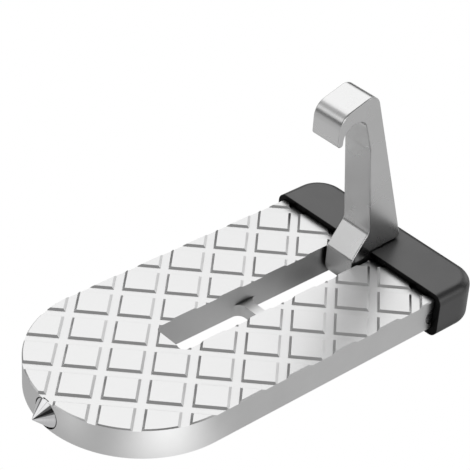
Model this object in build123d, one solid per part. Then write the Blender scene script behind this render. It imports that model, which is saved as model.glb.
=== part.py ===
from build123d import *
import math
import os

# Car door latch step: a cast aluminium foot plate with a round nose and a diamond tread.
# A latch hook turns on a cross pin in the central slot, a rubber boot covers the rear end
# and a steel breaker cone is screwed into the nose.
# Working frame: X runs back from the nose tip, Y across, Z up from the plate's underside.

# Plate
plate_length = 151.6
plate_width = 75.0
plate_base = 11.0
plate_edge_break = 0.2
pad_edge_break = 0.4
rear_corner_radius = 7.7

# Raised tread
tread_height = 0.65
tread_pitch = 14.14
tread_pad_base = 11.5
tread_bevel = 0.85
tread_first_pad = 4.25

# Slot, cut in two by a low cross web
slot_width = 14.8
slot_corner_radius = 3.0
front_slot_start = 49.0
rear_slot_margin = 10.1
web_to_pivot = 42.4
web_thickness = 4.0
web_height = 4.6

# Pivot pin
pivot_from_rear = 18.7
pivot_height = 5.0
pin_radius = 3.0
pin_press_clearance = 0.02
pin_running_clearance = 0.05
pin_end_recess = 0.2

# Latch hook, sizes from the pivot axis
hook_width = 12.6
hook_edge_round = 0.5
hub_front = 8.3
hub_rear = 5.5
hub_foot_clearance = 0.2
hub_front_radius = 6.0
hub_rear_radius = 4.0
flare_height = 8.2
arm_foot_front = 1.2
arm_foot_height = 17.3
arm_head_front = 4.9
arm_head_height = 51.5
throat_centre_forward = 13.1
throat_centre_height = 59.8
throat_radius = 5.3
lip_thickness = 2.3
lip_drop = 1.7
crown_thickness = 6.15
crown_slope = 16.5
crown_front_radius = 5.8
crown_rear_radius = 4.8
back_head_behind = -2.9
back_head_height = 68.9
back_heel_behind = 15.0
heel_radius = 1.4
heel_gap = 0.3
neck_radius = 1.2
brow_radius = 1.5
arm_foot_radius = 3.0
arm_head_radius = 6.0

# Rubber boot
boot_side_wall = 2.5
boot_top_wall = 2.0
boot_floor = 3.1
boot_fit = 0.05
boot_rim_from_rear = 18.3
boot_top_round = 3.6
boot_bottom_round = 3.4
boot_notch_side_clearance = 0.5
boot_notch_rear_clearance = 0.8

# Breaker cone
stud_height = 5.7
stud_base_radius = 5.1
stud_length = 5.4
stud_tip_radius = 0.4
stud_relief_depth = 0.3
stud_relief_width = 0.35
stud_shank_radius = 3.0
stud_shank_length = 11.0
stud_shank_clearance = 0.05
stud_bore_extra = 1.0

tread_top = plate_base + tread_height
pivot_x = plate_length - pivot_from_rear
rear_slot_end = plate_length - rear_slot_margin
web_end = pivot_x - web_to_pivot
web_front = web_end - web_thickness
boot_rim_x = plate_length - boot_rim_from_rear
boot_rear = plate_length + boot_fit + boot_side_wall
boot_side = plate_width / 2 + boot_fit + boot_side_wall
boot_underside = -boot_fit - boot_floor
boot_top = tread_top + boot_fit + boot_top_wall
nose_radius = plate_width / 2
stud_seat_x = nose_radius - math.sqrt(nose_radius**2 - stud_base_radius**2)
stud_half_angle = math.atan(stud_base_radius / stud_length)
stud_tip = -stud_length + stud_tip_radius * (1 / math.sin(stud_half_angle) - 1)


def plate_outline():
    """Plan of the plate: a half-round nose and a rear end with rounded corners."""
    half = plate_width / 2
    corner = rear_corner_radius
    with BuildSketch() as plan:
        with BuildLine():
            Line((nose_radius, -half), (plate_length - corner, -half))
            RadiusArc((plate_length - corner, -half), (plate_length, -half + corner), -corner)
            Line((plate_length, -half + corner), (plate_length, half - corner))
            RadiusArc((plate_length, half - corner), (plate_length - corner, half), -corner)
            Line((plate_length - corner, half), (nose_radius, half))
            ThreePointArc((nose_radius, half), (0, 0), (nose_radius, -half))
        make_face()
    return plan.sketch


def slot_outline(start, end):
    """Plan of one opening of the slot, between two X values."""
    middle = (start + end) / 2
    return Pos(middle, 0) * RectangleRounded(end - start, slot_width, slot_corner_radius)


def tread_pads():
    """Bevelled square pads on a 45 degree lattice that is symmetric about the plate's centreline."""
    step = tread_pitch * math.sqrt(2) / 2
    first = nose_radius + tread_first_pad
    along = range(-int(plate_length / step) - 1, int(plate_length / step) + 2)
    across = range(-int(plate_width / 2 / step) - 1, int(plate_width / 2 / step) + 2)
    spots = [
        (first + i * step, j * step)
        for i in along
        for j in across
        if (i + j) % 2 and -step < first + i * step < plate_length + step
    ]
    taper = math.degrees(math.atan(tread_bevel / tread_height))
    pad = extrude(Rot(0, 0, 45) * Rectangle(tread_pad_base, tread_pad_base), tread_height, taper=taper)
    return [Pos(x, y, plate_base) * pad for x, y in spots]


def pin_cylinder(radius, length):
    """A cylinder along Y, centred on the pivot axis: the pin itself or a bore for it."""
    turned = Rot(90, 0, 0) * Cylinder(radius, length)
    return Pos(pivot_x, 0, pivot_height) * turned


def stud_bore():
    """Blind hole, spot face and relief ring for the breaker cone, along X into the nose."""
    inward = (Align.CENTER, Align.CENTER, Align.MIN)
    outward = (Align.CENTER, Align.CENTER, Align.MAX)
    hole_radius = stud_shank_radius + stud_shank_clearance
    spot_radius = stud_base_radius + stud_relief_width
    hole = Cylinder(hole_radius, stud_shank_length + stud_bore_extra, align=inward)
    spot = Cylinder(spot_radius, stud_seat_x, align=outward)
    ring = Cylinder(spot_radius, stud_relief_depth, align=inward)
    ring -= Cylinder(stud_base_radius, stud_relief_depth, align=inward)
    return Pos(stud_seat_x, 0, stud_height) * (Rot(0, 90, 0) * (hole + spot + ring))


def make_plate():
    outline = plate_outline()
    body = extrude(outline, plate_base)
    lower = body.faces().sort_by(Axis.Z)[0]
    body = chamfer(lower.edges(), plate_edge_break)
    column = Pos(0, 0, plate_base) * extrude(outline, tread_height)
    column = chamfer(column.faces().sort_by(Axis.Z)[-1].edges(), pad_edge_break)
    for pad in tread_pads():
        cut = pad & column
        if cut and cut.volume > 0.01:
            body += cut
    through = 2 * tread_top
    front = extrude(slot_outline(front_slot_start, web_front), through, both=True)
    rear = extrude(slot_outline(web_end, rear_slot_end), through, both=True)
    above_web = Pos(0, 0, web_height) * extrude(
        Pos((web_front + web_end) / 2, 0) * Rectangle(web_thickness + 2 * slot_corner_radius, slot_width),
        through,
    )
    body = body - front - rear - above_web
    body -= pin_cylinder(pin_radius + pin_press_clearance, 2 * plate_width)
    body -= stud_bore()
    return body


def make_pin():
    return pin_cylinder(pin_radius, plate_width - 2 * pin_end_recess)


def hook_outline():
    """Side view of the hook in X and Z from the pivot axis, X towards the rear."""
    foot = -pivot_height + hub_foot_clearance
    heel = boot_top + heel_gap - pivot_height
    throat = Vector(-throat_centre_forward, throat_centre_height)
    lip_inner = throat.X - throat_radius
    lip_outer = lip_inner - lip_thickness
    slope = math.tan(math.radians(crown_slope))
    crown_z = throat.Y + throat_radius + crown_thickness

    def crown(x):
        return crown_z + (x - throat.X) * slope

    back_top = Vector(back_head_behind, back_head_height)
    lean = (back_heel_behind - back_top.X) / (heel - back_top.Y)

    def back(z):
        return back_top.X + (z - back_top.Y) * lean

    top_x = (back(0) + lean * (crown_z - throat.X * slope)) / (1 - lean * slope)
    arm_head = Vector(-arm_head_front, arm_head_height)
    reach = arm_head - throat
    angle = math.degrees(math.atan2(reach.Y, reach.X) + math.acos(throat_radius / reach.length))
    touch = throat + Vector(throat_radius, 0).rotate(Axis.Z, angle)
    over = throat + Vector(0, throat_radius)
    inner = Vector(lip_inner, throat.Y)
    tip = throat.Y - lip_drop
    with BuildSketch() as side:
        with BuildLine():
            Polyline(
                (inner.X, inner.Y),
                (lip_inner, tip),
                (lip_outer, tip),
                (lip_outer, crown(lip_outer)),
                (top_x, crown(top_x)),
                (back_heel_behind, heel),
                (hub_rear, heel),
                (hub_rear, foot),
                (-hub_front, foot),
                (-hub_front, flare_height),
                (-arm_foot_front, arm_foot_height),
                (arm_head.X, arm_head.Y),
                (touch.X, touch.Y),
            )
            ThreePointArc((touch.X, touch.Y), (over.X, over.Y), (inner.X, inner.Y))
        make_face()

        def near(x, z):
            return side.vertices().sort_by_distance((x, z, 0))[0]

        fillet([near(lip_inner, tip), near(lip_outer, tip)], lip_thickness * 0.45)
        fillet(near(lip_outer, crown(lip_outer)), crown_front_radius)
        fillet(near(top_x, crown(top_x)), crown_rear_radius)
        fillet(near(back_heel_behind, heel), heel_radius)
        fillet(near(hub_rear, heel), neck_radius)
        fillet(near(hub_rear, foot), hub_rear_radius)
        fillet(near(-hub_front, foot), hub_front_radius)
        fillet(near(-hub_front, flare_height), brow_radius)
        fillet(near(-arm_foot_front, arm_foot_height), arm_foot_radius)
        fillet(near(arm_head.X, arm_head.Y), arm_head_radius)
    return side.sketch


def make_hook():
    blank = extrude(hook_outline(), hook_width / 2, both=True)
    sides = blank.faces().filter_by(Axis.Z)
    blank = fillet(sides.edges(), hook_edge_round)
    upright = Rot(90, 0, 0) * blank
    hook = Pos(pivot_x, 0, pivot_height) * upright
    return hook - pin_cylinder(pin_radius + pin_running_clearance, 2 * hook_width)


def boot_blank(plan, height):
    """Solid block of the boot, its top and bottom edges rounded."""
    block = extrude(plan, height)
    block = fillet(block.faces().sort_by(Axis.Z)[-1].edges(), boot_top_round)
    return fillet(block.faces().sort_by(Axis.Z)[0].edges(), boot_bottom_round)


def make_boot():
    """Cup over the plate's rear end, cut off square at the rim and notched for the hook's foot."""
    corner = rear_corner_radius + boot_fit + boot_side_wall
    front = boot_rim_x - 2 * corner
    outline = Pos((front + boot_rear) / 2, 0) * RectangleRounded(boot_rear - front, 2 * boot_side, corner)
    skin = Pos(0, 0, boot_underside) * boot_blank(outline, boot_top - boot_underside)
    ahead = Pos(front, 0, 0) * Box(4 * corner, 4 * boot_side, 4 * boot_top)
    cavity = Pos(0, 0, -boot_fit) * extrude(offset(plate_outline(), boot_fit), tread_top + 2 * boot_fit)
    notch_end = pivot_x + hub_rear + boot_notch_rear_clearance
    notch_width = hook_width + 2 * boot_notch_side_clearance
    notch = Pos((front + notch_end) / 2, 0, 0) * Box(notch_end - front, notch_width, 4 * boot_top)
    return skin - ahead - cavity - notch


def make_stud():
    """Breaker cone with a blunted tip and a plain shank, turned about its axis and laid along X."""
    turn = math.pi / 2 - stud_half_angle

    def on_tip(angle):
        return stud_tip_radius * math.sin(angle), stud_tip + stud_tip_radius * (1 - math.cos(angle))

    with BuildSketch(Plane.XZ) as half:
        with BuildLine():
            ThreePointArc((0, stud_tip), on_tip(turn / 2), on_tip(turn))
            Polyline(
                on_tip(turn),
                (stud_base_radius, 0),
                (stud_shank_radius, 0),
                (stud_shank_radius, stud_shank_length),
                (0, stud_shank_length),
                (0, stud_tip),
            )
        make_face()
    stud = revolve(half.sketch, Axis.Z)
    return Pos(stud_seat_x, 0, stud_height) * (Rot(0, 90, 0) * stud)


centre_x = (stud_seat_x + stud_tip + boot_rear) / 2
placed = Location((-centre_x, 0, -boot_underside))
os.makedirs("parts", exist_ok=True)
pieces = {
    "foot_plate": make_plate(),
    "latch_hook": make_hook(),
    "pivot_pin": make_pin(),
    "rubber_boot": make_boot(),
    "breaker_stud": make_stud(),
}
for name, piece in pieces.items():
    export_step(placed * piece, f"parts/{name}.step")
print("origin offset", round(centre_x, 3), round(-boot_underside, 3))
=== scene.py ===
import math

import bpy
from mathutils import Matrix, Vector

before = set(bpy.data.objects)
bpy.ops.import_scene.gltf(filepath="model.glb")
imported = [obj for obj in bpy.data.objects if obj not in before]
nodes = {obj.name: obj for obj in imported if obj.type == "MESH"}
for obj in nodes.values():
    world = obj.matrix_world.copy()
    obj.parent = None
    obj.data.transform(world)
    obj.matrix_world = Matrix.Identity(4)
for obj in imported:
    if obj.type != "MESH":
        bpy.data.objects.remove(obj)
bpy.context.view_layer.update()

# Places and lengths are in metres, angles in degrees, and a brightness of one is white

# The boot's cut rim faces the nose at this X and gets painted shade, its colour and specular held low
RIM_X = 0.05870
RIM_FADE = 0.0004
RIM_SHADE_LEVEL = 0.12

# Painted crevice shade fades out between these shares of open surroundings
CREVICE_SHADE_SAMPLES = 8
CREVICE_SHADE_SHUT = 0.40
CREVICE_SHADE_OPEN = 0.92

# Noise values between which colours and roughnesses run
NOISE_LOW = 0.3
NOISE_HIGH = 0.7

FLOOR_SIZE = 12.0
FLOOR_Z = -0.0002
FLOOR_GREY = 0.75
FLOOR_ROUGHNESS = 0.9

# The floor glows to metal with a painted reflection: a level, and soft round patches of painted light and
# painted shade, of centre, radius and brightness
FLOOR_GLOW_LEVEL = 0.485
FLOOR_LIGHT_AND_SHADE_PATCHES = (
    # Painted light for the bright run of the nose's wall
    ((-0.059, -0.056), 0.040, 0.78),
    # Shade under the slot, deeper towards the hook
    ((-0.012, -0.004), 0.030, -0.14),
    ((0.026, -0.004), 0.030, -0.18),
    ((0.052, -0.002), 0.026, -0.38),
    # Painted shade behind the boot
    ((0.160, 0.045), 0.105, -0.46),
    # Painted light beyond the plate's far side
    ((-0.035, 0.075), 0.045, 0.15),
    # Painted light under the cone
    ((-0.096, -0.006), 0.020, 0.26),
)

# The sky: a level, and soft patches of direction, brightness, radius and width of the soft edge
SKY_LEVEL = 0.15
SKY_PATCHES = (
    # Main light on the tread and the top of the hook
    ((0.38, 0.56, 0.71), 1.26, 23.0, 13.0),
    # The pads' edges that face the nose, then those that face the boot
    ((-0.28, -0.26, 0.92), 0.21, 12.0, 16.0),
    ((1.0, 0.12, 0.23), 1.00, 12.0, 10.0),
    # The cone's bright facet, which the front of the hook shares, and its dark one
    ((-0.46, 0.83, 0.30), 0.95, 5.0, 6.0),
    ((-0.64, 0.61, 0.46), 1.00, 8.0, 5.0),
    ((-0.78, 0.24, 0.58), 0.95, 9.0, 5.0),
    ((-0.87, -0.38, 0.33), -0.13, 8.0, 6.0),
    # The boot's rear top edge
    ((0.82, 0.56, 0.12), -0.14, 14.0, 8.0),
    # The front of the hook's head
    ((-0.33, 0.56, 0.76), 0.40, 8.0, 14.0),
    # The rounding along the boot's side and the top of the web
    ((0.53, -0.70, 0.48), 0.60, 8.0, 12.0),
    ((0.60, -0.77, 0.20), 0.75, 10.0, 8.0),
    # The tread as seen from behind
    ((-0.62, -0.60, 0.50), 0.55, 10.0, 9.0),
)

CAMERA_PLACE = (-0.338641, -0.359441, 0.388369)
CAMERA_TURN = (55.10886, -3.18594, -41.11298)
CAMERA_LENS = 144.35
CAMERA_SENSOR = 36.0
CAMERA_NEAR = 0.01

# Node helpers


def new_material(name):
    material = bpy.data.materials.new(name)
    material.use_nodes = True
    tree = material.node_tree
    tree.nodes.clear()
    output = tree.nodes.new("ShaderNodeOutputMaterial")
    shader = tree.nodes.new("ShaderNodeBsdfPrincipled")
    tree.links.new(shader.outputs["BSDF"], output.inputs["Surface"])
    return material, tree, shader


def object_coords(tree, stretch=(1.0, 1.0, 1.0)):
    coords = tree.nodes.new("ShaderNodeTexCoord")
    mapping = tree.nodes.new("ShaderNodeMapping")
    mapping.inputs["Scale"].default_value = stretch
    tree.links.new(coords.outputs["Object"], mapping.inputs["Vector"])
    return mapping.outputs["Vector"]


def noise(tree, stretch, scale, detail, roughness):
    node = tree.nodes.new("ShaderNodeTexNoise")
    node.inputs["Scale"].default_value = scale
    node.inputs["Detail"].default_value = detail
    node.inputs["Roughness"].default_value = roughness
    tree.links.new(object_coords(tree, stretch), node.inputs["Vector"])
    return node.outputs["Fac"]


def remap(tree, value, before, after, smooth=False):
    """Takes a value from one range to another and holds it at the ends."""
    node = tree.nodes.new("ShaderNodeMapRange")
    if smooth:
        node.interpolation_type = "SMOOTHSTEP"
    node.inputs["From Min"].default_value = before[0]
    node.inputs["From Max"].default_value = before[1]
    node.inputs["To Min"].default_value = after[0]
    node.inputs["To Max"].default_value = after[1]
    tree.links.new(value, node.inputs["Value"])
    return node.outputs["Result"]


def grey_ramp(tree, value, dark, light):
    node = tree.nodes.new("ShaderNodeValToRGB")
    node.color_ramp.elements[0].position = NOISE_LOW
    node.color_ramp.elements[0].color = (*dark, 1.0)
    node.color_ramp.elements[1].position = NOISE_HIGH
    node.color_ramp.elements[1].color = (*light, 1.0)
    tree.links.new(value, node.inputs["Fac"])
    return node.outputs["Color"]


def bump(tree, height, strength, distance):
    node = tree.nodes.new("ShaderNodeBump")
    node.inputs["Strength"].default_value = strength
    node.inputs["Distance"].default_value = distance
    tree.links.new(height, node.inputs["Height"])
    return node.outputs["Normal"]


def arithmetic(tree, operation, a, b):
    node = tree.nodes.new("ShaderNodeMath")
    node.operation = operation
    tree.links.new(a, node.inputs[0])
    tree.links.new(b, node.inputs[1])
    return node.outputs["Value"]


def scaled(tree, colour, amount):
    node = tree.nodes.new("ShaderNodeVectorMath")
    node.operation = "SCALE"
    tree.links.new(colour, node.inputs[0])
    tree.links.new(amount, node.inputs["Scale"])
    return node.outputs["Vector"]


def painted_rim_shade(tree):
    """Painted shade: low on the boot's cut rim and one on the rest of it."""
    axes = tree.nodes.new("ShaderNodeSeparateXYZ")
    tree.links.new(object_coords(tree), axes.inputs["Vector"])
    return remap(tree, axes.outputs["X"], (RIM_X, RIM_X + RIM_FADE), (RIM_SHADE_LEVEL, 1.0))


def painted_crevice_shade(tree, distance, low):
    """Painted shade: falls from one on open faces to a low value where faces meet within the distance."""
    occlusion = tree.nodes.new("ShaderNodeAmbientOcclusion")
    occlusion.samples = CREVICE_SHADE_SAMPLES
    occlusion.inputs["Distance"].default_value = distance
    return remap(tree, occlusion.outputs["AO"], (CREVICE_SHADE_SHUT, CREVICE_SHADE_OPEN), (low, 1.0), smooth=True)


# Materials


def bare_metal(name, wear, grain, greys, roughness, relief, crevice_shade=None):
    """Metal whose grey and roughness follow the wear noise, whose relief follows the grain, and whose
    colour takes painted crevice shade when asked.
    """
    material, tree, shader = new_material(name)
    worn = noise(tree, *wear)
    colour = grey_ramp(tree, worn, *greys)
    if crevice_shade:
        # Painted shade darkens the colour where faces meet
        colour = scaled(tree, colour, painted_crevice_shade(tree, *crevice_shade))
    shader.inputs["Metallic"].default_value = 1.0
    tree.links.new(colour, shader.inputs["Base Color"])
    tree.links.new(remap(tree, worn, (NOISE_LOW, NOISE_HIGH), roughness), shader.inputs["Roughness"])
    tree.links.new(bump(tree, noise(tree, *grain), *relief), shader.inputs["Normal"])
    return material


def cast_aluminium():
    return bare_metal(
        "cast_aluminium",
        wear=((1.0, 1.0, 1.0), 60.0, 3.0, 0.55),
        grain=((1.0, 1.0, 1.0), 2600.0, 3.0, 0.6),
        greys=((0.81, 0.81, 0.81), (0.87, 0.87, 0.87)),
        roughness=(0.30, 0.38),
        relief=(0.08, 0.00005),
        # Painted shade in the plate's crevices and along its pads' bevels
        crevice_shade=(0.0040, 0.08),
    )


def hook_aluminium():
    return bare_metal(
        "hook_aluminium",
        wear=((1.0, 1.0, 1.0), 70.0, 3.0, 0.55),
        grain=((900.0, 900.0, 60.0), 2.0, 3.0, 0.6),
        greys=((0.80, 0.80, 0.80), (0.85, 0.85, 0.85)),
        roughness=(0.25, 0.31),
        relief=(0.04, 0.00003),
    )


def pin_steel():
    turned = ((1.0, 90.0, 1.0), 300.0, 2.0, 0.5)
    return bare_metal(
        "pin_steel",
        wear=turned,
        grain=turned,
        greys=((0.55, 0.55, 0.56), (0.66, 0.66, 0.67)),
        roughness=(0.22, 0.34),
        relief=(0.05, 0.00003),
    )


def polished_steel():
    rings = ((4000.0, 40.0, 40.0), 1.0, 2.0, 0.5)
    return bare_metal(
        "polished_steel",
        wear=rings,
        grain=rings,
        greys=((0.86, 0.86, 0.87), (0.93, 0.93, 0.94)),
        roughness=(0.06, 0.10),
        relief=(0.03, 0.00002),
    )


def black_rubber():
    material, tree, shader = new_material("black_rubber")
    grain = noise(tree, (1.0, 1.0, 1.0), 1800.0, 4.0, 0.65)
    patches = noise(tree, (1.0, 1.0, 1.0), 90.0, 3.0, 0.6)
    skin = grey_ramp(tree, patches, (0.024, 0.024, 0.024), (0.031, 0.031, 0.032))
    # Painted shade on the cut rim and in crevices darkens both colour and specular
    clear = arithmetic(tree, "MULTIPLY", painted_rim_shade(tree), painted_crevice_shade(tree, 0.0090, 0.25))
    tree.links.new(scaled(tree, skin, clear), shader.inputs["Base Color"])
    tree.links.new(remap(tree, patches, (NOISE_LOW, NOISE_HIGH), (0.31, 0.38)), shader.inputs["Roughness"])
    shader.inputs["IOR"].default_value = 1.58
    tree.links.new(clear, shader.inputs["Specular IOR Level"])
    tree.links.new(bump(tree, grain, 0.15, 0.00006), shader.inputs["Normal"])
    return material


def dress(node, material):
    piece = nodes[node]
    piece.data.materials.clear()
    piece.data.materials.append(material)


dress("foot_plate", cast_aluminium())
dress("latch_hook", hook_aluminium())
dress("rubber_boot", black_rubber())
dress("pivot_pin", pin_steel())
dress("breaker_stud", polished_steel())

# Floor, sky, light and camera


def total_of(tree, level, parts):
    """Sum of a plain level and the brightness of each part."""
    start = tree.nodes.new("ShaderNodeValue")
    start.outputs["Value"].default_value = level
    total = start.outputs["Value"]
    for part in parts:
        total = arithmetic(tree, "ADD", total, part)
    return total


def painted_floor_patch(tree, centre, radius, wanted):
    """Brightness of a soft round patch painted on the floor's glow, light where wanted is above nought and
    shade where it is below, as wanted at its centre.
    """
    apart = tree.nodes.new("ShaderNodeVectorMath")
    apart.operation = "DISTANCE"
    apart.inputs[1].default_value = (*centre, 0.0)
    coords = tree.nodes.new("ShaderNodeTexCoord")
    tree.links.new(coords.outputs["Object"], apart.inputs[0])
    return remap(tree, apart.outputs["Value"], (radius, 0.0), (0.0, wanted), smooth=True)


def sky_patch(tree, direction, wanted, radius, soft):
    """Brightness of a soft patch of the sky, as wanted within the radius and fading over the soft edge."""
    dot = tree.nodes.new("ShaderNodeVectorMath")
    dot.operation = "DOT_PRODUCT"
    dot.inputs[1].default_value = Vector(direction).normalized()
    coords = tree.nodes.new("ShaderNodeTexCoord")
    tree.links.new(coords.outputs["Generated"], dot.inputs[0])
    outer = math.cos(math.radians(radius + soft))
    inner = math.cos(math.radians(radius))
    return remap(tree, dot.outputs["Value"], (outer, inner), (0.0, wanted), smooth=True)


def mixed(tree, rays, usual, special):
    """One shader for most rays and another for the kind of ray that the rays output marks."""
    mix = tree.nodes.new("ShaderNodeMixShader")
    tree.links.new(rays, mix.inputs["Fac"])
    tree.links.new(usual, mix.inputs[1])
    tree.links.new(special, mix.inputs[2])
    return mix.outputs["Shader"]


def floor_material():
    """Pale and matt in the light, white to the camera, and in metal's reflections a glow with painted
    light and painted shade patches.
    """
    material, tree, shader = new_material("pale_floor")
    output = tree.nodes["Material Output"]
    shader.inputs["Base Color"].default_value = (FLOOR_GREY, FLOOR_GREY, FLOOR_GREY, 1.0)
    shader.inputs["Roughness"].default_value = FLOOR_ROUGHNESS
    # A glow seen only in reflections: painted reflection with patches of painted light and shade
    painted_reflection = tree.nodes.new("ShaderNodeEmission")
    patches = [painted_floor_patch(tree, *patch) for patch in FLOOR_LIGHT_AND_SHADE_PATCHES]
    tree.links.new(total_of(tree, FLOOR_GLOW_LEVEL, patches), painted_reflection.inputs["Strength"])
    seen = tree.nodes.new("ShaderNodeEmission")
    seen.inputs["Color"].default_value = (1.0, 1.0, 1.0, 1.0)
    rays = tree.nodes.new("ShaderNodeLightPath").outputs
    lit = shader.outputs["BSDF"]
    glossy = mixed(tree, rays["Is Glossy Ray"], lit, painted_reflection.outputs["Emission"])
    final = mixed(tree, rays["Is Camera Ray"], glossy, seen.outputs["Emission"])
    tree.links.new(final, output.inputs["Surface"])
    return material


def make_floor():
    bpy.ops.mesh.primitive_plane_add(size=FLOOR_SIZE, location=(0.0, 0.0, FLOOR_Z))
    floor = bpy.context.object
    floor.name = "floor"
    floor.data.materials.append(floor_material())


def make_world():
    """Soft patches of light in the sky, which the camera sees as plain white."""
    world = bpy.data.worlds.new("studio")
    bpy.context.scene.world = world
    world.use_nodes = True
    tree = world.node_tree
    tree.nodes.clear()
    sky = tree.nodes.new("ShaderNodeBackground")
    patches = [sky_patch(tree, *patch) for patch in SKY_PATCHES]
    tree.links.new(total_of(tree, SKY_LEVEL, patches), sky.inputs["Strength"])
    seen = tree.nodes.new("ShaderNodeBackground")
    seen.inputs["Color"].default_value = (1.0, 1.0, 1.0, 1.0)
    seen.inputs["Strength"].default_value = 1.0
    rays = tree.nodes.new("ShaderNodeLightPath").outputs
    output = tree.nodes.new("ShaderNodeOutputWorld")
    lit = sky.outputs["Background"]
    final = mixed(tree, rays["Is Camera Ray"], lit, seen.outputs["Background"])
    tree.links.new(final, output.inputs["Surface"])


def area_light(name, place, target, size, power):
    data = bpy.data.lights.new(name, "AREA")
    data.shape = "RECTANGLE"
    data.size = size[0]
    data.size_y = size[1]
    data.energy = power
    light = bpy.data.objects.new(name, data)
    bpy.context.scene.collection.objects.link(light)
    light.location = place
    light.rotation_euler = (Vector(target) - Vector(place)).to_track_quat("-Z", "Y").to_euler()


def make_camera():
    data = bpy.data.cameras.new("camera")
    data.sensor_width = CAMERA_SENSOR
    data.lens = CAMERA_LENS
    data.clip_start = CAMERA_NEAR
    camera = bpy.data.objects.new("camera", data)
    bpy.context.scene.collection.objects.link(camera)
    camera.location = CAMERA_PLACE
    camera.rotation_euler = [math.radians(angle) for angle in CAMERA_TURN]
    bpy.context.scene.camera = camera


make_floor()
make_world()
area_light("low_side", place=(-0.05, -0.75, 0.16), target=(0.0, 0.0, 0.0), size=(0.30, 0.20), power=0.6)
make_camera()
bpy.context.scene.view_settings.view_transform = "Standard"
